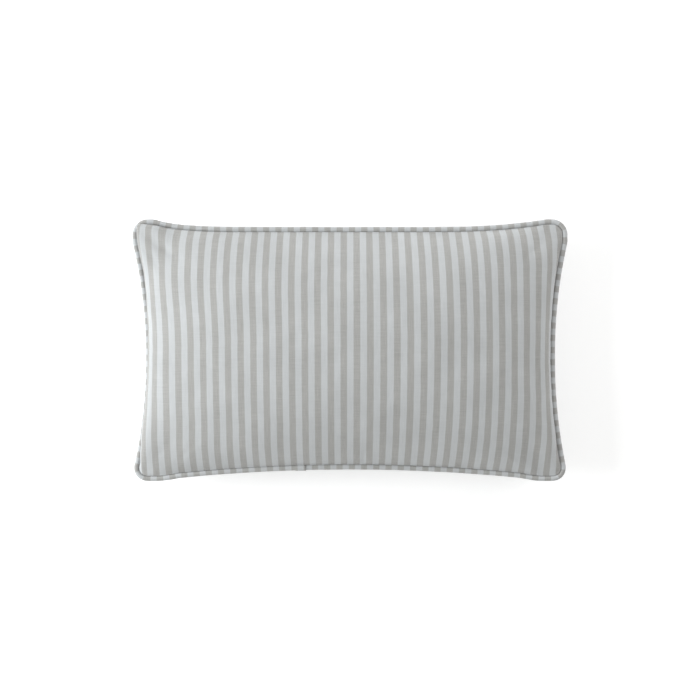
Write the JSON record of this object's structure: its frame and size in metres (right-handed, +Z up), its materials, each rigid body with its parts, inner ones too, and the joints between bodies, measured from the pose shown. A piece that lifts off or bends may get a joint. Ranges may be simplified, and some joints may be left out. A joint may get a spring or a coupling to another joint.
{
  "type": "throw pillow",
  "caption": "Rectangular lumbar throw pillow with a corded piped edge, a hidden zip in one long seam and a removable stuffed insert.",
  "frame": {"origin": "under the middle of the pillow, on the flat that its back panel rests on", "axes": "+X along the length, +Y across the width away from the zip, +Z up through the thickness, out of the front panel"},
  "size_m": [0.5034, 0.304, 0.094],
  "materials": {
    "striped_cloth": "matt woven stripe, pale blue-grey and taupe",
    "piping_cloth": "the same cloth, folded round a cord",
    "cotton_cord": "soft twisted cotton",
    "sewing_thread": "satin polyester thread",
    "zip_tape": "dense woven tape",
    "zip_coil": "nylon coil",
    "zip_metal": "nickel plate",
    "insert_cloth": "plain white cotton",
    "insert_fibre": "white polyester fibre",
    "label_cloth": "blank satin ribbon"
  },
  "bodies": {
    "pillow": {"front_panel": "striped_cloth", "back_panel": "striped_cloth", "piping_sleeve": "piping_cloth", "piping_cord": "cotton_cord", "seam_thread_front": "sewing_thread", "seam_thread_back": "sewing_thread", "zipper_tape_front": "zip_tape", "zipper_tape_back": "zip_tape", "zipper_coil_front": "zip_coil", "zipper_coil_back": "zip_coil", "zipper_thread_front": "sewing_thread", "zipper_thread_back": "sewing_thread", "zipper_top_stop_front": "zip_metal", "zipper_top_stop_back": "zip_metal", "zipper_bottom_stop": "zip_metal", "insert_casing_front": "insert_cloth", "insert_casing_back": "insert_cloth", "insert_seam_thread": "sewing_thread", "insert_fill": "insert_fibre", "care_label": "label_cloth"},
    "slider": {"zipper_slider": "zip_metal"},
    "pull_tab": {"zipper_pull": "zip_metal"}
  },
  "joints": [
    {"name": "slider_travel", "type": "hinge", "parent": "pillow", "child": "slider", "pos_m": [0, -2.16446, 0.042], "axis": [0, 0, 1], "range_deg": [0, 10.43]},
    {"name": "pull_swing", "type": "hinge", "parent": "slider", "child": "pull_tab", "pos_m": [0.18465, -0.14308, 0.03615], "axis": [-0.9959, 0.091, 0], "range_deg": [-8, 118]}
  ]
}
